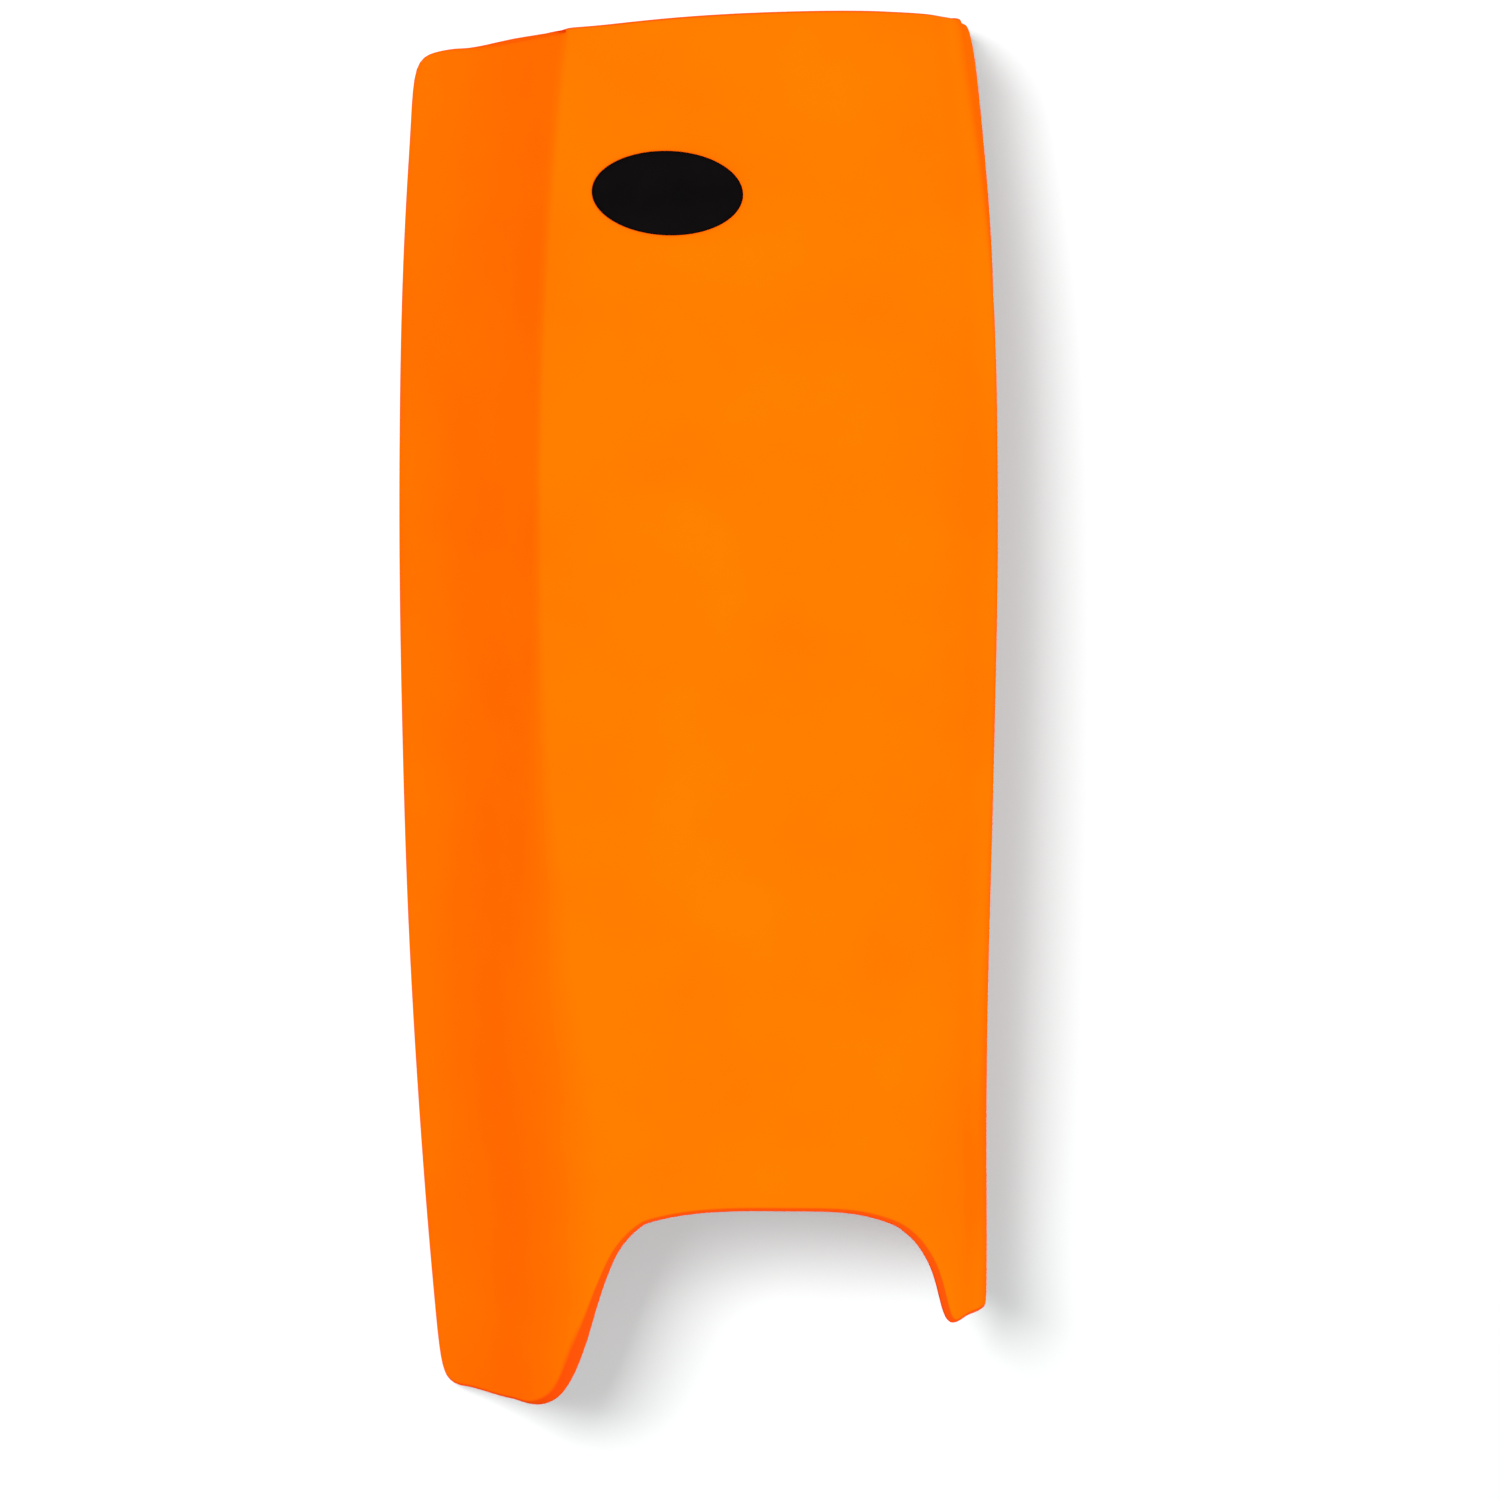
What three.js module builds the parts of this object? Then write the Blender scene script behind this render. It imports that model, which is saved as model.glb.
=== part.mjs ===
// A goalkeeper's leg guard: a moulded foam pad, a blank oval badge on its face, three straps behind the leg.
// Millimetres. The pad lies on the rims of its wings: X across, Y from foot to knee, Z out of the face.
import * as THREE from "three";
import { mergeVertices } from "three/addons/utils/BufferGeometryUtils.js";

// Foam walls and edges
const FACE_WALL = 30; // foam behind the front face
const LEFT_WALL = 21; // foam beside the left corner between face and wing
const RIM_WALL = 14; // foam at the rear rim of a wing
const EDGE_ROUND = 4; // radius of the rounded edges of the outside skin
const EDGE_SHARE = 0.25; // share of the wall that rounds over at a rim and on the inside
const EDGE_TURN = 0.4; // share of the steps through the wall in which an edge turns over
const WING_HOLLOW = 8; // how far the outside of a wing is drawn in under its corner
const INNER_HOLLOW = 3; // the same for the inside of a wing
const RIM_REACH = 0.4; // share of a wing that follows its flare at the rim
const CORNER_REACH = 0.33; // share of it that follows the corner
const INNER_ROLL = 26; // reach of the rounded corner inside the pad
const FACE_REACH = 0.5; // share of a rounded corner's reach that lies on the face
const ROLL_ACROSS = 0.3; // reach of a rounded corner in the across coordinate
const BAND = 28; // width of the sloping band between the face and the right corner
const BAND_HOLLOW = 1; // how far that band is drawn in
const BAND_OUTER = 0.95; // across coordinates of the band's ends and of the bend above it
const BAND_INNER = 0.8;
const SHOULDER_INNER = 0.6;
const SHOULDER = 12; // reach of the bend between the face and the band
const ACROSS_STEP = 0.2; // steps by which the slope of the skin is measured
const LENGTH_STEP = 1;

// Cross-sections from the foot to the knee: the face, then the left and the right side. Height is the face's
// side above the floor; crown lifts the face, most of all at crownAt. Rims and corners are distances from the
// middle line. Flare is the angle in degrees at which a wing leaves its rim, a roll is the reach of a rounded
// corner, drop lowers the right corner and wall is the foam beside it.
const FACE_SECTIONS = [
  { y: -330, height: 107, crown: 20, crownAt: 0 },
  { y: -230, height: 109, crown: 22, crownAt: 0 },
  { y: -110, height: 110, crown: 22, crownAt: -25 },
  { y: -20, height: 110, crown: 22, crownAt: -40 },
  { y: 90, height: 109, crown: 22, crownAt: -45 },
  { y: 200, height: 106, crown: 20, crownAt: -20 },
  { y: 330, height: 101, crown: 18, crownAt: 15 },
];
const LEFT_SECTIONS = [
  { y: -330, leftRim: 120, leftFlare: 60, leftCorner: 99, leftRoll: 54 },
  { y: -230, leftRim: 129, leftFlare: 54, leftCorner: 100, leftRoll: 52 },
  { y: -110, leftRim: 136.3, leftFlare: 30, leftCorner: 102.4, leftRoll: 30 },
  { y: -20, leftRim: 139, leftFlare: 42, leftCorner: 104.5, leftRoll: 12 },
  { y: 90, leftRim: 140, leftFlare: 56, leftCorner: 104.5, leftRoll: 5 },
  { y: 200, leftRim: 137.5, leftFlare: 48, leftCorner: 100, leftRoll: 5 },
  { y: 330, leftRim: 128.3, leftFlare: 30, leftCorner: 86, leftRoll: 6 },
];
const RIGHT_SECTIONS = [
  { y: -330, rightRim: 128, rightFlare: 56, rightCorner: 104, rightRoll: 16, rightDrop: 4, rightWall: 9 },
  { y: -262, rightRim: 132, rightFlare: 56, rightCorner: 108, rightRoll: 20, rightDrop: 12, rightWall: 10 },
  { y: -230, rightRim: 134, rightFlare: 56, rightCorner: 112, rightRoll: 24, rightDrop: 24, rightWall: 16 },
  { y: -190, rightRim: 135, rightFlare: 54, rightCorner: 108, rightRoll: 20, rightDrop: 15, rightWall: 19 },
  { y: -130, rightRim: 135.5, rightFlare: 50, rightCorner: 105, rightRoll: 14, rightDrop: 8, rightWall: 21 },
  { y: -20, rightRim: 138, rightFlare: 52, rightCorner: 105.8, rightRoll: 7, rightDrop: 6, rightWall: 21 },
  { y: 90, rightRim: 139.5, rightFlare: 55, rightCorner: 107.4, rightRoll: 6, rightDrop: 6, rightWall: 21 },
  { y: 200, rightRim: 139, rightFlare: 60, rightCorner: 104, rightRoll: 6, rightDrop: 4, rightWall: 21 },
  { y: 330, rightRim: 126, rightFlare: 66, rightCorner: 88.5, rightRoll: 18, rightDrop: 2, rightWall: 21 },
];

// The across coordinate runs -2 left rim, -1 left corner, 0 middle of the face, 1 right corner, 2 right rim.
// Outline of the knee edge, and of the foot edge with its arch and its two tips.
const KNEE_EDGE = [
  { across: -2, y: 288.7 },
  { across: -1.94, y: 291.5 },
  { across: -1.8, y: 292.5 },
  { across: -1.3, y: 296 },
  { across: -1, y: 297 },
  { across: -0.7, y: 298.3 },
  { across: -0.35, y: 303 },
  { across: 0, y: 305.5 },
  { across: 0.7, y: 306.5 },
  { across: 1, y: 305 },
  { across: 1.3, y: 305.8 },
  { across: 1.6, y: 306.4 },
  { across: 1.8, y: 306.6 },
  { across: 1.94, y: 303.4 },
  { across: 2, y: 293 },
];
const FOOT_EDGE = [
  { across: -2, y: -299 },
  { across: -1.95, y: -304.5 },
  { across: -1.8, y: -306 },
  { across: -1.3, y: -305 },
  { across: -1.085, y: -300 },
  { across: -0.985, y: -292 },
  { across: -0.9, y: -276 },
  { across: -0.795, y: -249 },
  { across: -0.685, y: -229.5 },
  { across: -0.59, y: -219.5 },
  { across: -0.48, y: -215.5 },
  { across: 0, y: -214.5 },
  { across: 0.4, y: -221 },
  { across: 0.52, y: -229 },
  { across: 0.6, y: -239 },
  { across: 0.68, y: -253 },
  { across: 0.72, y: -262.5 },
  { across: 0.735, y: -266.8 },
  { across: 0.76, y: -271.2 },
  { across: 0.785, y: -270.3 },
  { across: 0.825, y: -269.3 },
  { across: 0.88, y: -268.6 },
  { across: 1, y: -267.6 },
  { across: 1.3, y: -267.3 },
  { across: 1.8, y: -263 },
  { across: 1.95, y: -256 },
  { across: 2, y: -246 },
];
// Across coordinate of the inside skin behind each place of the outside one: the foam is cut back behind the
// arch.
const INSIDE = [
  { across: -2, inside: -2 },
  { across: -1.3, inside: -1.66 },
  { across: -1, inside: -1.48 },
  { across: -0.8, inside: -1.31 },
  { across: -0.7, inside: -1.17 },
  { across: -0.6, inside: -0.95 },
  { across: -0.45, inside: -0.62 },
  { across: 0, inside: 0 },
  { across: 0.45, inside: 0.62 },
  { across: 0.6, inside: 0.95 },
  { across: 0.7, inside: 1.17 },
  { across: 0.8, inside: 1.31 },
  { across: 1, inside: 1.48 },
  { across: 1.3, inside: 1.66 },
  { across: 2, inside: 2 },
];
const KNEE_LINE = 294; // straight line that the rows of the blank start from at the knee
const FOOT_LINE = -257; // and at the foot
const EDGE_FADE = 3; // how fast the rows leave the shape of an edge

// How many columns of the blank go to each stretch of the across coordinate
const COLUMNS = [
  { steps: 4, to: -1.8 },
  { steps: 4, to: -1.3 },
  { steps: 6, to: -0.95 },
  { steps: 12, to: -0.55 },
  { steps: 9, to: 0.45 },
  { steps: 7, to: 0.735 },
  { steps: 2, to: 0.785 },
  { steps: 4, to: 0.95 },
  { steps: 6, to: 1.3 },
  { steps: 4, to: 1.8 },
  { steps: 4, to: 2 },
];
const ROWS = 22; // steps of the blank from the foot to the knee
const LAYERS = 5; // steps through the foam at its edges

// Badge
const BADGE = { x: -47.5, y: 227.5, halfWidth: 32.5, halfHeight: 18, tilt: -0.02, thick: 1.6 };
const BADGE_SPOKES = 48;
const HEIGHT_HALVINGS = 40; // steps in the search for the face under the badge
const BADGE_RINGS = [
  { radius: 0, level: 0 },
  { radius: 0.5, level: 0 },
  { radius: 1, level: 0 },
  { radius: 1, level: 0.6 },
  { radius: 0.97, level: 1 },
  { radius: 0.5, level: 1 },
  { radius: 0, level: 1 },
];

// Straps and clips
const SEAT_GAP = 0.3; // clearance between pieces that touch
const STRAPS = [
  { name: "upper", y: 185 },
  { name: "middle", y: 10 },
  { name: "lower", y: -150 },
];
const STRAP_WIDTH = 38;
const STRAP_THICK = 2.5;
const STRAP_HEIGHT = 10; // underside of the band above the floor
const TAB_TOP = -1.12; // where the bonded end of a strap stops, in the across coordinate
const TAB_FOOT = -1.5; // where the strap leaves the wing
const TAB_NUDGE = 0.01; // step by which the slope of a wing is measured
const TAB_STEPS = 5;
const BEND_STEPS = 5;
const STRAP_WIDTH_STEPS = 2;
const CLIP_LENGTH = 36;
const CLIP_MARGIN = 6; // clip beyond each side of the strap
const CLIP_WALL = 3;
const CLIP_CORNER = 2.5;
const CLIP_CORNER_STEPS = 4;

// A smooth curve through one column of a table
function smoothColumn(rows, key, column) {
  const places = rows.map((row) => row[key]);
  const values = rows.map((row) => row[column]);
  const curve = new THREE.CubicInterpolant(places, values, 1);
  return (place) => curve.evaluate(place)[0];
}

const kneeEdge = smoothColumn(KNEE_EDGE, "across", "y");
const footEdge = smoothColumn(FOOT_EDGE, "across", "y");
const innerAcross = smoothColumn(INSIDE, "across", "inside");
const sectionCurves = [FACE_SECTIONS, LEFT_SECTIONS, RIGHT_SECTIONS].flatMap((rows) => {
  const sizes = Object.keys(rows[0]).filter((size) => size !== "y");
  return sizes.map((size) => [size, smoothColumn(rows, "y", size)]);
});

// The outside section at one place along the pad
function outerSection(y) {
  const section = Object.fromEntries(sectionCurves.map(([size, curve]) => [size, curve(y)]));
  return { ...section, hollow: WING_HOLLOW };
}

// The section of the leg channel inside it
function innerSection(y) {
  const outer = outerSection(y);
  return {
    ...outer,
    height: outer.height - FACE_WALL,
    crownAt: 0,
    leftRim: outer.leftRim - RIM_WALL,
    leftCorner: outer.leftCorner - LEFT_WALL,
    leftRoll: INNER_ROLL,
    rightRim: outer.rightRim - RIM_WALL,
    rightCorner: outer.rightCorner - outer.rightWall,
    rightRoll: INNER_ROLL,
    rightDrop: 0,
    hollow: INNER_HOLLOW,
  };
}

// A point that lies some way from another on the line towards a third
function onward(from, to, reach) {
  return from.clone().addScaledVector(to.clone().sub(from).normalize(), reach);
}

// One half of a section, from its rim to the face, in smooth pieces between across coordinates
function sidePieces(section, side) {
  const size = (name) => section[`${side < 0 ? "left" : "right"}${name}`];
  const drop = side < 0 ? 0 : section.rightDrop;
  const rim = new THREE.Vector2(side * size("Rim"), EDGE_ROUND);
  const faceCorner = new THREE.Vector2(side * size("Corner"), section.height);
  const corner = faceCorner.clone().sub(new THREE.Vector2(0, drop));
  const middle = new THREE.Vector2(section.crownAt, section.height + section.crown);
  const inward = corner.clone().sub(rim).normalize().rotateAround(new THREE.Vector2(), (side * Math.PI) / 2);
  const hollow = rim.clone().lerp(corner, 0.5).addScaledVector(inward, section.hollow);
  const wingEnd = onward(corner, hollow, size("Roll"));
  const span = rim.distanceTo(wingEnd);
  const flare = THREE.MathUtils.degToRad(size("Flare"));
  const outward = new THREE.Vector2(-side * Math.cos(flare), Math.sin(flare));
  const fromRim = rim.clone().addScaledVector(outward, RIM_REACH * span);
  const toEnd = onward(corner, hollow, size("Roll") + CORNER_REACH * span);
  const wing = new THREE.CubicBezierCurve(rim, fromRim, toEnd, wingEnd);
  const pieces = [{ outer: 2, inner: 1 + ROLL_ACROSS, curve: wing }];
  if (drop === 0) {
    const faceEnd = onward(corner, middle, size("Roll") * FACE_REACH);
    const roll = new THREE.QuadraticBezierCurve(wingEnd, corner, faceEnd);
    pieces.push({ outer: 1 + ROLL_ACROSS, inner: 1 - ROLL_ACROSS, curve: roll });
    return pieces;
  }
  const shoulder = onward(faceCorner, middle, BAND);
  const bandEnd = onward(corner, shoulder, size("Roll") * FACE_REACH);
  const bandStart = onward(shoulder, corner, SHOULDER);
  const bandMiddle = bandEnd.clone().lerp(bandStart, 0.5).sub(new THREE.Vector2(0, BAND_HOLLOW));
  const faceEnd = onward(shoulder, middle, SHOULDER);
  const roll = new THREE.QuadraticBezierCurve(wingEnd, corner, bandEnd);
  const band = new THREE.QuadraticBezierCurve(bandEnd, bandMiddle, bandStart);
  const bend = new THREE.QuadraticBezierCurve(bandStart, shoulder, faceEnd);
  pieces.push({ outer: 1 + ROLL_ACROSS, inner: BAND_OUTER, curve: roll });
  pieces.push({ outer: BAND_OUTER, inner: BAND_INNER, curve: band });
  pieces.push({ outer: BAND_INNER, inner: SHOULDER_INNER, curve: bend });
  return pieces;
}

// A point of a section at one across coordinate
function sectionPoint(section, across) {
  const reach = Math.abs(across);
  const bent = sidePieces(section, across < 0 ? -1 : 1).find(({ inner }) => reach >= inner);
  if (bent) return bent.curve.getPoint((bent.outer - reach) / (bent.outer - bent.inner));
  const left = sidePieces(section, -1).at(-1);
  const right = sidePieces(section, 1).at(-1);
  const middle = new THREE.Vector2(section.crownAt, section.height + section.crown);
  const face = new THREE.QuadraticBezierCurve(left.curve.v2, middle, right.curve.v2);
  return face.getPoint((across + left.inner) / (left.inner + right.inner));
}

// A point of the outside or the inside skin
function skinPoint(section, across, y) {
  const point = sectionPoint(section(y), across);
  return new THREE.Vector3(point.x, y, point.y);
}

// The direction straight out of the outside skin at one place
function skinNormal(across, y) {
  const place = (acrossStep, lengthStep) => skinPoint(outerSection, across + acrossStep, y + lengthStep);
  const sideways = place(ACROSS_STEP, 0).sub(place(-ACROSS_STEP, 0));
  const lengthways = place(0, LENGTH_STEP).sub(place(0, -LENGTH_STEP));
  return sideways.cross(lengthways).normalize();
}

// How far along the pad a row of the blank lies in one column
function rowPlace(across, share) {
  const straight = THREE.MathUtils.lerp(FOOT_LINE, KNEE_LINE, share);
  const foot = footEdge(across) + EDGE_ROUND - FOOT_LINE;
  const knee = kneeEdge(across) - EDGE_ROUND - KNEE_LINE;
  return straight + foot * (1 - share) ** EDGE_FADE + knee * share ** EDGE_FADE;
}

// Across coordinates of the blank's columns
function columnPlaces() {
  const places = [-2];
  for (const stretch of COLUMNS) {
    const from = places.at(-1);
    for (let step = 1; step <= stretch.steps; step += 1) {
      places.push(from + ((stretch.to - from) * step) / stretch.steps);
    }
  }
  return places;
}

// The neighbours of a place on the rim of the blank, walking round it with the foam on the left
function rimNeighbours(column, row, lastColumn) {
  const ring = [];
  for (let i = 0; i < lastColumn; i += 1) ring.push([i, 0]);
  for (let j = 0; j < ROWS; j += 1) ring.push([lastColumn, j]);
  for (let i = lastColumn; i > 0; i -= 1) ring.push([i, ROWS]);
  for (let j = ROWS; j > 0; j -= 1) ring.push([0, j]);
  const here = ring.findIndex(([i, j]) => i === column && j === row);
  return [ring.at(here - 1), ring[(here + 1) % ring.length]];
}

// The foam pad: a flat blank of foam, moulded to the outer and inner skins, with rounded edges all round
function padShell() {
  const places = columnPlaces();
  const lastColumn = places.length - 1;
  const blank = new THREE.BoxGeometry(lastColumn, ROWS, LAYERS, lastColumn, ROWS, LAYERS);
  const outside = ([column, row]) => {
    const across = places[column];
    return skinPoint(outerSection, across, rowPlace(across, row / ROWS));
  };
  const position = blank.attributes.position;
  for (let index = 0; index < position.count; index += 1) {
    const column = Math.round(position.getX(index) + lastColumn / 2);
    const row = Math.round(position.getY(index) + ROWS / 2);
    const depth = position.getZ(index) / LAYERS + 0.5;
    const outer = outside([column, row]);
    const inner = skinPoint(innerSection, innerAcross(places[column]), outer.y);
    const wall = outer.clone().sub(inner);
    const turn = (Math.min(depth, 1 - depth, EDGE_TURN) / EDGE_TURN) * (Math.PI / 2);
    const sunk = 1 - Math.cos(turn);
    const onRim = column === 0 || column === lastColumn;
    const normal = skinNormal(places[column], outer.y);
    const edge = onRim ? wall.clone().multiplyScalar(EDGE_SHARE) : normal.multiplyScalar(EDGE_ROUND);
    const onInside = inner.clone().addScaledVector(wall, EDGE_SHARE * sunk);
    const onOutside = outer.clone().addScaledVector(edge, -sunk);
    const point = depth < 0.5 ? onInside : onOutside;
    if (onRim || row === 0 || row === ROWS) {
      const [before, after] = rimNeighbours(column, row, lastColumn);
      const along = outside(after).sub(outside(before));
      point.addScaledVector(along.cross(edge).normalize(), EDGE_ROUND * Math.sin(turn));
    }
    position.setXYZ(index, point.x, point.y, point.z);
  }
  return blank;
}

// Height of the front face over a place on the floor
function faceHeight(x, y) {
  const section = outerSection(y);
  let low = -1;
  let high = 1;
  for (let halving = 0; halving < HEIGHT_HALVINGS; halving += 1) {
    const middle = (low + high) / 2;
    if (sectionPoint(section, middle).x < x) low = middle;
    else high = middle;
  }
  return sectionPoint(section, (low + high) / 2).y;
}

// The oval badge, bent to the face that it is bonded to
function ovalBadge() {
  const rings = BADGE_RINGS.map((ring) => new THREE.Vector2(ring.radius, ring.level));
  const plate = new THREE.LatheGeometry(rings, BADGE_SPOKES);
  const position = plate.attributes.position;
  for (let index = 0; index < position.count; index += 1) {
    const offset = new THREE.Vector2(position.getX(index), -position.getZ(index));
    offset.multiply(new THREE.Vector2(BADGE.halfWidth, BADGE.halfHeight));
    offset.rotateAround(new THREE.Vector2(), BADGE.tilt);
    const x = BADGE.x + offset.x;
    const y = BADGE.y + offset.y;
    const rise = SEAT_GAP + BADGE.thick * position.getY(index);
    position.setXYZ(index, x, y, faceHeight(x, y) + rise);
  }
  return plate;
}

// Half of a strap's underside at one place along the pad, from the middle of the back to its bonded end. It
// is laid out for the left wing; the half for the right wing is laid out as its mirror image.
function strapPath(y, side) {
  const section = innerSection(y);
  const wingPoint = (across) => {
    const point = sectionPoint(section, -side * across);
    return new THREE.Vector2(-side * point.x, point.y);
  };
  const tab = [];
  for (let step = 0; step <= TAB_STEPS; step += 1) {
    const across = THREE.MathUtils.lerp(TAB_FOOT, TAB_TOP, step / TAB_STEPS);
    const here = wingPoint(across);
    const ahead = wingPoint(across + TAB_NUDGE).sub(here).normalize();
    tab.push(here.add(new THREE.Vector2(ahead.y, -ahead.x).multiplyScalar(SEAT_GAP)));
  }
  const fall = tab[0].clone().sub(tab[1]).normalize();
  const knee = tab[0].clone().addScaledVector(fall, (STRAP_HEIGHT - tab[0].y) / fall.y);
  const level = knee.clone().add(new THREE.Vector2(knee.distanceTo(tab[0]), 0));
  const bend = new THREE.QuadraticBezierCurve(level, knee, tab[0]).getPoints(BEND_STEPS);
  return [new THREE.Vector2(0, STRAP_HEIGHT), ...bend, ...tab.slice(1)];
}

// The side of a path that faces the leg, at one of its points
function legSide(path, index) {
  const before = path[Math.max(index - 1, 0)];
  const after = path[Math.min(index + 1, path.length - 1)];
  const along = after.clone().sub(before).normalize();
  return index === 0 ? new THREE.Vector2(0, 1) : new THREE.Vector2(along.y, -along.x);
}

// An elastic strap: a flat band across the back with both ends bonded inside the wings
function strap(middle) {
  const half = strapPath(middle, 1).length - 1;
  const band = new THREE.BoxGeometry(2 * half, STRAP_WIDTH, 1, 2 * half, STRAP_WIDTH_STEPS, 1);
  const position = band.attributes.position;
  for (let index = 0; index < position.count; index += 1) {
    const step = Math.round(position.getX(index));
    const side = step > 0 ? 1 : -1;
    const y = middle + position.getY(index);
    const path = strapPath(y, side);
    const point = path[Math.abs(step)].clone();
    const rise = STRAP_THICK * (position.getZ(index) + 0.5);
    point.addScaledVector(legSide(path, Math.abs(step)), rise);
    position.setXYZ(index, -side * point.x, y, point.y);
  }
  return band;
}

// A rectangle with round corners about the origin
function roundedRectangle(Outline, width, height, corner) {
  const outline = new Outline();
  const x = width / 2 - corner;
  const y = height / 2 - corner;
  outline.absarc(x, y, corner, 0, Math.PI / 2);
  outline.absarc(-x, y, corner, Math.PI / 2, Math.PI);
  outline.absarc(-x, -y, corner, Math.PI, 1.5 * Math.PI);
  outline.absarc(x, -y, corner, 1.5 * Math.PI, 2 * Math.PI);
  return outline;
}

// A plain clasp: a sleeve that the strap runs through
function clip(middle) {
  const slotWidth = STRAP_WIDTH + 2 * SEAT_GAP;
  const slotHeight = STRAP_THICK + 2 * SEAT_GAP;
  const width = slotWidth + 2 * CLIP_MARGIN;
  const height = slotHeight + 2 * CLIP_WALL;
  const outline = roundedRectangle(THREE.Shape, width, height, CLIP_CORNER);
  outline.holes.push(roundedRectangle(THREE.Path, slotWidth, slotHeight, SEAT_GAP));
  const options = { depth: CLIP_LENGTH, bevelEnabled: false, curveSegments: CLIP_CORNER_STEPS };
  const sleeve = new THREE.ExtrudeGeometry(outline, options);
  sleeve.translate(0, 0, -CLIP_LENGTH / 2);
  sleeve.rotateX(Math.PI / 2);
  sleeve.rotateZ(Math.PI / 2);
  sleeve.translate(0, middle, STRAP_HEIGHT + STRAP_THICK / 2);
  return sleeve;
}

function piece(name, geometry, colour, roughness) {
  const bare = geometry.clone();
  bare.deleteAttribute("normal");
  bare.deleteAttribute("uv");
  const material = new THREE.MeshStandardMaterial({ color: colour, roughness });
  const mesh = new THREE.Mesh(mergeVertices(bare), material);
  mesh.name = name;
  return mesh;
}

const FOAM_ORANGE = 0xff6e00;
const RUBBER_BLACK = 0x0c0c0e;
const WEBBING_BLACK = 0x17171a;
const CLIP_BLACK = 0x101012;

const legGuard = new THREE.Group();
legGuard.name = "leg_guard";
legGuard.add(piece("pad_shell", padShell(), FOAM_ORANGE, 0.6));
legGuard.add(piece("oval_badge", ovalBadge(), RUBBER_BLACK, 0.5));
for (const { name, y } of STRAPS) {
  legGuard.add(piece(`${name}_strap`, strap(y), WEBBING_BLACK, 0.9));
  legGuard.add(piece(`${name}_clip`, clip(y), CLIP_BLACK, 0.45));
}

export default legGuard;
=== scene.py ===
import math

import bmesh
import bpy
from mathutils import Matrix, Vector
from mathutils.bvhtree import BVHTree


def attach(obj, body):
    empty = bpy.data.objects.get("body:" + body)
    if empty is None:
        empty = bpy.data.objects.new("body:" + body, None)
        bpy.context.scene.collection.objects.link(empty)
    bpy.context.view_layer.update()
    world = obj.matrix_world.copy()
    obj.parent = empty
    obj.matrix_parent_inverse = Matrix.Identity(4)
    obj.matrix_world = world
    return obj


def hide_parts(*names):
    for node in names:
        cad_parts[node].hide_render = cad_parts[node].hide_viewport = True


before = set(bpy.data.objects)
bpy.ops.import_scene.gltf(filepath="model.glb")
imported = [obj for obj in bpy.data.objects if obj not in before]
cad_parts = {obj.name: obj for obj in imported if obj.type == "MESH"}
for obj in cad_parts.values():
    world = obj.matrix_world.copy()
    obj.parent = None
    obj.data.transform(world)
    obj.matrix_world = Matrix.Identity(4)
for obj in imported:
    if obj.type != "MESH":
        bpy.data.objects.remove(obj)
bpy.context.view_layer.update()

# A goalkeeper's leg guard of moulded foam, lying face up on the rims of its wings.
# Metres: X across, Y from the foot to the knee, Z out of the face.

# Camera
VIEW_TURN = math.radians(17)  # to the left of the face's normal
VIEW_LIFT = math.radians(5)  # towards the knee
VIEW_DISTANCE = 2.4
VIEW_HEIGHT = 0.045  # height of the point that the camera aims at
VIEW_RIGHT = 0.0098  # how far the picture's middle lies from that point
VIEW_UP = -0.0183
LENS = 129.2
SENSOR = 36.0

# Foam shell
MERGE_DISTANCE = 1e-6
QUAD_REGULARITY = 1.0  # how strongly triangles are paired into a regular grid
SHELL_LEVELS = 2
FIT_SHARE = 0.6  # how much of the smoothing's shrinkage is given back
# Painted shade: a deeper red-orange on the shell's two ends and beside the long tip, standing in for shade on
# edges turned from the light.
PAINTED_SHADE_ATTRIBUTE = "painted_shade"  # vertex value that paints shade on the shell's two ends
SHADE_STARTS = 0.36  # values between which the painted shade of an end sets in
SHADE_FULL = 0.56
FOOT_SHADE = 1.0  # the painted shade's value at the foot end
KNEE_SHADE = 0.45  # and at the knee end
SLANT_SIDES = (-0.1, 0.0)  # least and greatest X of the slanted strip of painted shade beside the long tip
SLANT_FROM = -0.215  # Y of its end at the arch
SLANT_TO = -0.302  # Y of its end at the tip
SLANT_SHADE = 0.5  # the highest value on its outline

# Badge
BADGE_MIDDLE = Vector((-0.0475, 0.2275))
BADGE_HALF = Vector((0.0325, 0.018))
BADGE_TILT = -0.02
BADGE_SEAT = 0.0003  # gap under the plate
BADGE_THICK = 0.0015
BADGE_SPOKES = 96
# The plate's outline from the middle of its underside to that of its top: shares of radius and thickness
BADGE_PROFILE = (
    (0.0, 0.0),
    (0.5, 0.0),
    (0.985, 0.0),
    (1.0, 0.2),
    (1.0, 0.5),
    (0.988, 0.72),
    (0.96, 0.86),
    (0.85, 0.93),
    (0.5, 0.98),
    (0.0, 1.0),
)
RAY_HEIGHT = 0.3  # where the search for the face under the plate starts

# Straps and clips
STRAP_NAMES = ("upper", "middle", "lower")
STRAP_EDGE = 0.0006
STRAP_EDGE_SEGMENTS = 2
STRAP_LEVELS = 2
CLIP_EDGE = 0.0008
CLIP_EDGE_SEGMENTS = 3
SHARP_ANGLE = math.radians(50)  # edges turned by more than this are rounded

# Materials
PATCH_STOPS = (0.3, 0.7)  # patch levels of a moulded skin's two colours
PAINTED_SHADE_COLOUR = (0.76, 0.06, 0.002, 1.0)  # painted shade: a darker red-orange for the foam's edges that turn from the light
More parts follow.
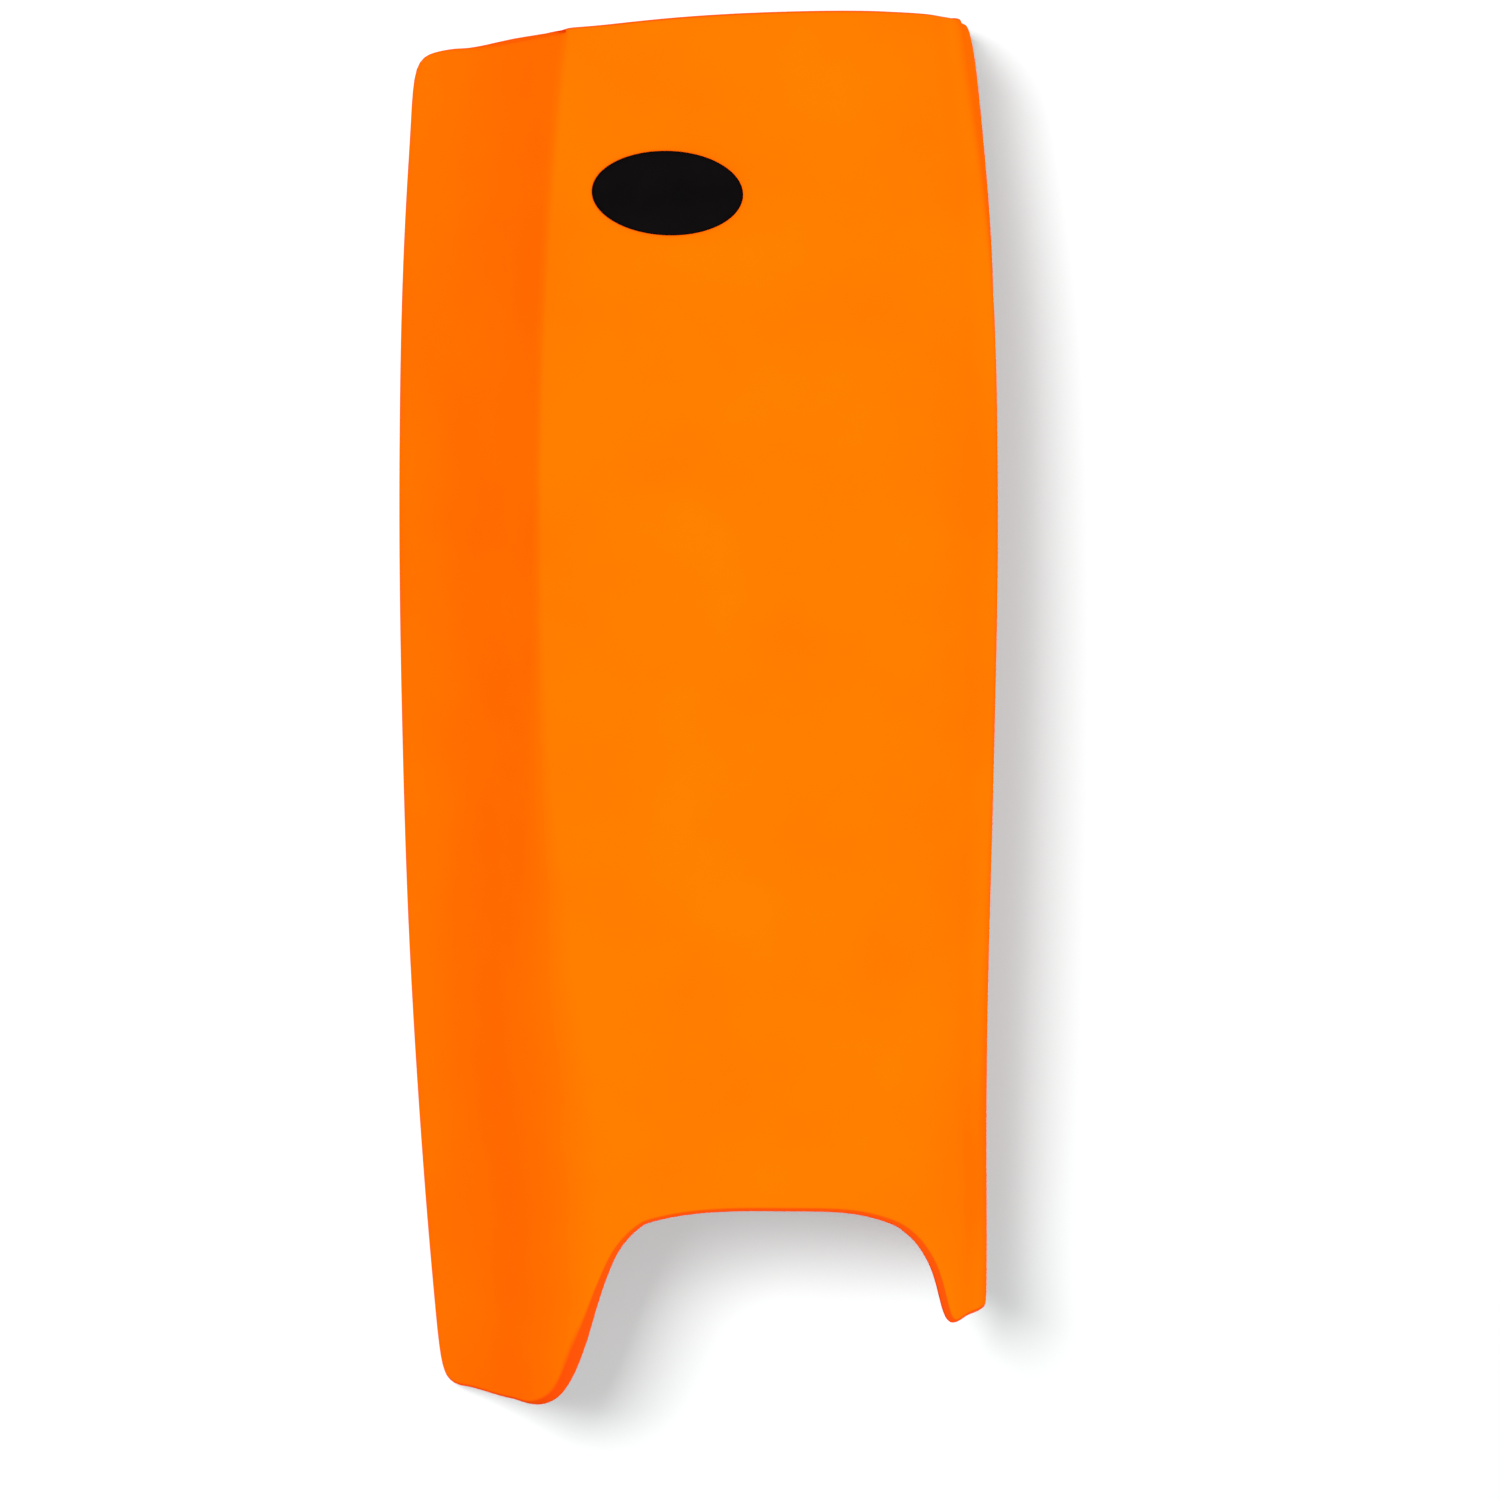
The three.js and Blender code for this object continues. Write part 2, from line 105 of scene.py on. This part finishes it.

# Studio
FLOOR_SIZE = 8.0
FLOOR_COLOUR = (0.1345, 0.1385, 0.1385, 1.0)  # a touch cool against the guard's warm glow
SKY_STRENGTH = 0.82
SOFTBOX_SIZE = 2.6
SOFTBOX_PLACE = Vector((-0.1, 0.1, 2.6))
SOFTBOX_WATTS = 73.0
SHADOW_LAMP_PLACE = Vector((-1.6, 0.78, 2.6))
SHADOW_LAMP_SIZE = 1.0
SHADOW_LAMP_WATTS = 520.0
FLOOR_LAMP_PLACE = Vector((0.0, 0.0, 3.0))
FLOOR_LAMP_SIZE = 3.0
FLOOR_LAMP_WATTS = 410.0


# Mesh helpers

def node_copy(name):
    """A merged copy of a solid's mesh, with its triangles paired into quads."""
    shape = bmesh.new()
    shape.from_mesh(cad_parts[name].data)
    bmesh.ops.remove_doubles(shape, verts=shape.verts, dist=MERGE_DISTANCE)
    bmesh.ops.join_triangles(
        shape,
        faces=shape.faces,
        angle_face_threshold=math.pi,
        angle_shape_threshold=math.pi,
        topology_influence=QUAD_REGULARITY,
    )
    return shape


def finished(name, shape, material):
    """Makes a named object of a bmesh, smooth shaded, in one material."""
    for face in shape.faces:
        face.smooth = True
    mesh = bpy.data.meshes.new(name)
    shape.to_mesh(mesh)
    shape.free()
    mesh.materials.append(material)
    piece = bpy.data.objects.new(name, mesh)
    bpy.context.scene.collection.objects.link(piece)
    return piece


def subdivided(piece, levels):
    """Smooths a piece with a subdivision surface."""
    smooth = piece.modifiers.new("smooth", "SUBSURF")
    smooth.levels = levels
    smooth.render_levels = levels
    return piece


def fitted(piece, share):
    """Moves a smoothed piece out again by a share of its shrinkage, but not under the floor."""
    bpy.context.view_layer.update()
    smooth = piece.evaluated_get(bpy.context.evaluated_depsgraph_get()).data
    shrinkage = [vertex.co - smooth.vertices[vertex.index].co for vertex in piece.data.vertices]
    for vertex, lost in zip(piece.data.vertices, shrinkage):
        vertex.co += lost * share
        vertex.co.z = max(vertex.co.z, 0.0)
    piece.data.update()
    return piece


def rounded_edges(piece, width, segments):
    """Rounds the sharp edges of a piece."""
    bevel = piece.modifiers.new("rounded_edges", "BEVEL")
    bevel.width = width
    bevel.segments = segments
    bevel.limit_method = "ANGLE"
    bevel.angle_limit = SHARP_ANGLE
    return piece


def belongs(piece, node):
    """Gives a piece its place in the frame: the solid that it stands for."""
    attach(piece, "root")
    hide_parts(node)
    return piece


# Material helpers

def new_material(name):
    """A new node material, with its node tree and its principled shader."""
    material = bpy.data.materials.new(name)
    material.use_nodes = True
    tree = material.node_tree
    shader = tree.nodes["Principled BSDF"]
    return material, tree, shader


def add_node(tree, kind, **values):
    """Adds a node and sets its properties and input values by name."""
    node = tree.nodes.new(kind)
    for key, value in values.items():
        if key in node.inputs:
            node.inputs[key].default_value = value
        else:
            setattr(node, key, value)
    return node


def new_group(name, inputs, outputs):
    """A shader node group with named value sockets."""
    group = bpy.data.node_groups.new(name, "ShaderNodeTree")
    for label, value in inputs:
        socket = group.interface.new_socket(label, in_out="INPUT", socket_type="NodeSocketFloat")
        socket.default_value = value
    for label in outputs:
        group.interface.new_socket(label, in_out="OUTPUT", socket_type="NodeSocketFloat")
    return group, group.nodes.new("NodeGroupInput"), group.nodes.new("NodeGroupOutput")


def moulded_grain_group():
    """Fine closed cells and broad uneven patches, as on a moulded skin."""
    group, given, result = new_group(
        "moulded_grain",
        [("Cells Per Metre", 900.0), ("Patches Per Metre", 14.0)],
        ["Height", "Patches"],
    )
    link = group.links.new
    place = add_node(group, "ShaderNodeTexCoord")
    cells = add_node(group, "ShaderNodeTexVoronoi", feature="SMOOTH_F1")
    link(place.outputs["Object"], cells.inputs["Vector"])
    link(given.outputs["Cells Per Metre"], cells.inputs["Scale"])
    patches = add_node(group, "ShaderNodeTexNoise", Detail=3.0, Roughness=0.5)
    link(place.outputs["Object"], patches.inputs["Vector"])
    link(given.outputs["Patches Per Metre"], patches.inputs["Scale"])
    link(cells.outputs["Distance"], result.inputs["Height"])
    link(patches.outputs["Fac"], result.inputs["Patches"])
    return group


def webbing_group():
    """Ribs along a band and fine picks across it."""
    group, given, result = new_group(
        "webbing",
        [("Ribs Per Metre", 700.0), ("Picks Per Metre", 1100.0)],
        ["Height"],
    )
    link = group.links.new
    place = add_node(group, "ShaderNodeTexCoord")
    parts = add_node(group, "ShaderNodeSeparateXYZ")
    link(place.outputs["Object"], parts.inputs["Vector"])
    along = add_node(group, "ShaderNodeMath", operation="ADD")
    link(parts.outputs["X"], along.inputs[0])
    link(parts.outputs["Z"], along.inputs[1])

    def wave(value, rate):
        """A sine along a coordinate, at a rate per metre."""
        scaled = add_node(group, "ShaderNodeMath", operation="MULTIPLY")
        link(value, scaled.inputs[0])
        link(rate, scaled.inputs[1])
        turned = add_node(group, "ShaderNodeMath", operation="MULTIPLY")
        link(scaled.outputs[0], turned.inputs[0])
        turned.inputs[1].default_value = 2 * math.pi
        sine = add_node(group, "ShaderNodeMath", operation="SINE")
        link(turned.outputs[0], sine.inputs[0])
        return sine.outputs[0]

    ribs = wave(parts.outputs["Y"], given.outputs["Ribs Per Metre"])
    picks = wave(along.outputs[0], given.outputs["Picks Per Metre"])
    woven = add_node(group, "ShaderNodeMath", operation="MULTIPLY")
    link(ribs, woven.inputs[0])
    link(picks, woven.inputs[1])
    height = add_node(group, "ShaderNodeMath", operation="ADD")
    link(ribs, height.inputs[0])
    link(woven.outputs[0], height.inputs[1])
    link(height.outputs[0], result.inputs["Height"])
    return group


def grained_material(name, grain, colours, roughness, cells, patches, strength, height):
    """A moulded finish: two close colours in broad patches, and a fine grain.

    Cells and patches are numbers per metre. Strength and height are those of the grain's relief.
    """
    material, tree, shader = new_material(name)
    link = tree.links.new
    texture = add_node(tree, "ShaderNodeGroup", node_tree=grain)
    texture.inputs["Cells Per Metre"].default_value = cells
    texture.inputs["Patches Per Metre"].default_value = patches
    colour = add_node(tree, "ShaderNodeValToRGB")
    for stop, (place, value) in zip(colour.color_ramp.elements, zip(PATCH_STOPS, colours)):
        stop.position = place
        stop.color = (*value, 1.0)
    link(texture.outputs["Patches"], colour.inputs["Fac"])
    link(colour.outputs["Color"], shader.inputs["Base Color"])
    dull = add_node(tree, "ShaderNodeMapRange")
    dull.inputs["To Min"].default_value = roughness[0]
    dull.inputs["To Max"].default_value = roughness[1]
    link(texture.outputs["Patches"], dull.inputs["Value"])
    link(dull.outputs["Result"], shader.inputs["Roughness"])
    relief = add_node(tree, "ShaderNodeBump", Strength=strength, Distance=height)
    link(texture.outputs["Height"], relief.inputs["Height"])
    link(relief.outputs["Normal"], shader.inputs["Normal"])
    return material, shader


def foam_material(grain):
    """Bright orange closed-cell foam with a matt moulded skin, with painted shade of a deeper red-orange on
    its ends.
    """
    material, shader = grained_material(
        "orange_foam",
        grain,
        colours=((0.95, 0.118, 0.0), (0.96, 0.132, 0.0)),
        roughness=(0.55, 0.65),
        cells=1100.0,
        patches=16.0,
        strength=0.12,
        height=0.0002,
    )
    shader.inputs["Specular IOR Level"].default_value = 0.0
    tree = material.node_tree
    skin = shader.inputs["Base Color"].links[0].from_socket
    # Painted shade: the ends' vertex value mixes a darker red-orange into the skin colour.
    painted_shade = add_node(tree, "ShaderNodeAttribute", attribute_name=PAINTED_SHADE_ATTRIBUTE)
    share = add_node(tree, "ShaderNodeMapRange", interpolation_type="SMOOTHSTEP")
    share.inputs["From Min"].default_value = SHADE_STARTS
    share.inputs["From Max"].default_value = SHADE_FULL
    shade_mix = add_node(tree, "ShaderNodeMixRGB", Color2=PAINTED_SHADE_COLOUR)
    tree.links.new(painted_shade.outputs["Fac"], share.inputs["Value"])
    tree.links.new(share.outputs["Result"], shade_mix.inputs["Fac"])
    tree.links.new(skin, shade_mix.inputs["Color1"])
    tree.links.new(shade_mix.outputs["Color"], shader.inputs["Base Color"])
    return material


def badge_material(grain):
    """Black moulded rubber."""
    material, shader = grained_material(
        "black_rubber",
        grain,
        colours=((0.0016, 0.0012, 0.0014), (0.0026, 0.002, 0.0022)),
        roughness=(0.42, 0.55),
        cells=1800.0,
        patches=60.0,
        strength=0.1,
        height=0.0001,
    )
    shader.inputs["Specular IOR Level"].default_value = 0.01
    return material


def clip_material(grain):
    """Black moulded plastic with a fine texture."""
    material, shader = grained_material(
        "black_clip",
        grain,
        colours=((0.010, 0.010, 0.011), (0.014, 0.014, 0.015)),
        roughness=(0.4, 0.5),
        cells=2600.0,
        patches=50.0,
        strength=0.2,
        height=0.0001,
    )
    shader.inputs["Specular IOR Level"].default_value = 0.4
    return material


def webbing_material():
    """Black woven elastic."""
    material, tree, shader = new_material("black_webbing")
    link = tree.links.new
    weave = add_node(tree, "ShaderNodeGroup", node_tree=webbing_group())
    colour = add_node(tree, "ShaderNodeValToRGB")
    colour.color_ramp.elements[0].color = (0.006, 0.006, 0.007, 1.0)
    colour.color_ramp.elements[1].color = (0.022, 0.022, 0.024, 1.0)
    link(weave.outputs["Height"], colour.inputs["Fac"])
    link(colour.outputs["Color"], shader.inputs["Base Color"])
    shader.inputs["Roughness"].default_value = 0.85
    shader.inputs["Sheen Weight"].default_value = 0.2
    relief = add_node(tree, "ShaderNodeBump", Strength=0.6, Distance=0.0003)
    link(weave.outputs["Height"], relief.inputs["Height"])
    link(relief.outputs["Normal"], shader.inputs["Normal"])
    return material


# Pieces

def blank_lines(shape):
    """The edges of a moulded blank: the lines of its grid that join its three-edged corners."""
    lines = set()
    for corner in [vertex for vertex in shape.verts if len(vertex.link_edges) == 3]:
        for edge in corner.link_edges:
            vertex = edge.other_vert(corner)
            lines.add(edge)
            while len(vertex.link_edges) == 4:
                beside = set(edge.link_faces)
                edge = next(other for other in vertex.link_edges if not beside & set(other.link_faces))
                vertex = edge.other_vert(vertex)
                lines.add(edge)
    return lines


def blank_sides(shape, lines):
    """The six sides of a moulded blank, as lists of faces between its lines."""
    sides = []
    waiting = set(shape.faces)
    while waiting:
        side = [waiting.pop()]
        for face in side:
            near = {other for edge in face.edges if edge not in lines for other in edge.link_faces} & waiting
            waiting -= near
            side.extend(near)
        sides.append(side)
    return sides


def middle_y(side):
    """Where a side of the blank lies along the guard."""
    return sum(face.calc_center_median().y for face in side) / len(side)


def slant_shade(place):
    """The painted shade's value at the outline of an end: it rises and falls along the long tip's side of the
    arch.
    """
    share = (place.y - SLANT_FROM) / (SLANT_TO - SLANT_FROM)
    if not (SLANT_SIDES[0] < place.x < SLANT_SIDES[1] and 0.0 < share < 1.0):
        return 0.0
    return SLANT_SHADE * math.sin(math.pi * share * share)


def paint_shade_on_ends(shape):
    """Gives the vertices of the shell's two ends the value of painted shade that its material reads."""
    value = shape.verts.layers.float.new(PAINTED_SHADE_ATTRIBUTE)
    lines = blank_lines(shape)
    on_outline = {vertex for edge in lines for vertex in edge.verts}
    sides = sorted(blank_sides(shape, lines), key=middle_y)
    for end, shade_level in ((sides[0], FOOT_SHADE), (sides[-1], KNEE_SHADE)):
        for vertex in {vertex for face in end for vertex in face.verts}:
            vertex[value] = slant_shade(vertex.co) if vertex in on_outline else shade_level


def foam_shell(material):
    """The moulded pad, smoothed over the solid's own grid."""
    shape = node_copy("pad_shell")
    paint_shade_on_ends(shape)
    shell = finished("foam_shell", shape, material)
    subdivided(shell, SHELL_LEVELS)
    fitted(shell, FIT_SHARE)
    return belongs(shell, "pad_shell")


def domed_oval():
    """A thin round plate of radius and thickness 1, with a rounded edge and a domed top."""
    shape = bmesh.new()
    outline = [shape.verts.new((radius, 0.0, level)) for radius, level in BADGE_PROFILE]
    edges = [shape.edges.new(pair) for pair in zip(outline, outline[1:])]
    bmesh.ops.spin(
        shape,
        geom=outline + edges,
        cent=(0.0, 0.0, 0.0),
        axis=(0.0, 0.0, 1.0),
        angle=2 * math.pi,
        steps=BADGE_SPOKES,
        use_merge=True,
    )
    bmesh.ops.remove_doubles(shape, verts=shape.verts, dist=MERGE_DISTANCE)
    bmesh.ops.recalc_face_normals(shape, faces=shape.faces)
    return shape


def badge_plate(shell, material):
    """A blank oval plate, bent to the face that it is bonded to."""
    face = BVHTree.FromObject(shell, bpy.context.evaluated_depsgraph_get())
    shape = domed_oval()
    for vertex in shape.verts:
        offset = Vector((vertex.co.x * BADGE_HALF.x, vertex.co.y * BADGE_HALF.y))
        offset.rotate(Matrix.Rotation(BADGE_TILT, 2))
        place = BADGE_MIDDLE + offset
        below = face.ray_cast(Vector((place.x, place.y, RAY_HEIGHT)), Vector((0.0, 0.0, -1.0)))[0]
        vertex.co = (place.x, place.y, below.z + BADGE_SEAT + BADGE_THICK * vertex.co.z)
    plate = finished("badge_plate", shape, material)
    return belongs(plate, "oval_badge")


def webbing_strap(name, material):
    """A flat elastic band with softened edges."""
    band = finished(f"{name}_webbing", node_copy(f"{name}_strap"), material)
    rounded_edges(band, STRAP_EDGE, STRAP_EDGE_SEGMENTS)
    subdivided(band, STRAP_LEVELS)
    return belongs(band, f"{name}_strap")


def plain_clasp(name, material):
    """A plain sleeve on a strap, with rounded edges."""
    sleeve = finished(f"{name}_clasp", node_copy(f"{name}_clip"), material)
    rounded_edges(sleeve, CLIP_EDGE, CLIP_EDGE_SEGMENTS)
    return belongs(sleeve, f"{name}_clip")


def main():
    """Dresses all the guard's solids."""
    grain = moulded_grain_group()
    shell = foam_shell(foam_material(grain))
    badge_plate(shell, badge_material(grain))
    webbing = webbing_material()
    plastic = clip_material(grain)
    for name in STRAP_NAMES:
        webbing_strap(name, webbing)
        plain_clasp(name, plastic)


# Studio

def photo_camera():
    """The photograph's view: a long lens, a little to the left of the face and towards the knee."""
    flat = math.cos(VIEW_LIFT)
    toward = Vector((-math.sin(VIEW_TURN) * flat, math.sin(VIEW_LIFT), math.cos(VIEW_TURN) * flat))
    right = Vector((0.0, 1.0, 0.0)).cross(toward).normalized()
    up = toward.cross(right)
    aim = Vector((0.0, 0.0, VIEW_HEIGHT)) + right * VIEW_RIGHT + up * VIEW_UP
    data = bpy.data.cameras.new("photo_camera")
    data.lens = LENS
    data.sensor_width = SENSOR
    camera = bpy.data.objects.new("photo_camera", data)
    turned = Matrix((right, up, toward)).transposed().to_4x4()
    camera.matrix_world = Matrix.Translation(aim + toward * VIEW_DISTANCE) @ turned
    bpy.context.scene.collection.objects.link(camera)
    bpy.context.scene.camera = camera


def pale_floor():
    """A plain pale floor."""
    material, _, shader = new_material("pale_floor")
    shader.inputs["Base Color"].default_value = FLOOR_COLOUR
    shader.inputs["Roughness"].default_value = 0.9
    shader.inputs["Specular IOR Level"].default_value = 0.1
    shape = bmesh.new()
    bmesh.ops.create_grid(shape, x_segments=1, y_segments=1, size=FLOOR_SIZE / 2)
    floor = finished("floor", shape, material)
    return floor


def square_light(name, place, size, watts):
    """A square soft light that faces the guard."""
    data = bpy.data.lights.new(name, "AREA")
    data.shape = "SQUARE"
    data.size = size
    data.energy = watts
    light = bpy.data.objects.new(name, data)
    light.location = place
    light.rotation_euler = place.to_track_quat("Z", "Y").to_euler()
    bpy.context.scene.collection.objects.link(light)
    return light


def shine_on(lamps, floor, state):
    """Lets lamps light the floor alone, or all but the floor."""
    lit = bpy.data.collections.new(f"floor_{state.lower()}")
    lit.objects.link(floor)
    lit.collection_objects[0].light_linking.link_state = state
    for lamp in lamps:
        lamp.light_linking.receiver_collection = lit


def studio():
    """Light from all round, a softbox for the guard alone, and two lamps for the floor alone."""
    scene = bpy.context.scene
    scene.view_settings.view_transform = "Standard"
    world = bpy.data.worlds.new("studio")
    world.use_nodes = True
    world.node_tree.nodes["Background"].inputs["Color"].default_value = (1.0, 1.0, 1.0, 1.0)
    world.node_tree.nodes["Background"].inputs["Strength"].default_value = SKY_STRENGTH
    scene.world = world
    floor = pale_floor()
    softbox = square_light("softbox", SOFTBOX_PLACE, SOFTBOX_SIZE, SOFTBOX_WATTS)
    shadow_lamp = square_light("shadow_lamp", SHADOW_LAMP_PLACE, SHADOW_LAMP_SIZE, SHADOW_LAMP_WATTS)
    floor_lamp = square_light("floor_lamp", FLOOR_LAMP_PLACE, FLOOR_LAMP_SIZE, FLOOR_LAMP_WATTS)
    floor_lamp.data.use_shadow = False
    shine_on([softbox], floor, "EXCLUDE")
    shine_on([shadow_lamp, floor_lamp], floor, "INCLUDE")


main()
photo_camera()
studio()
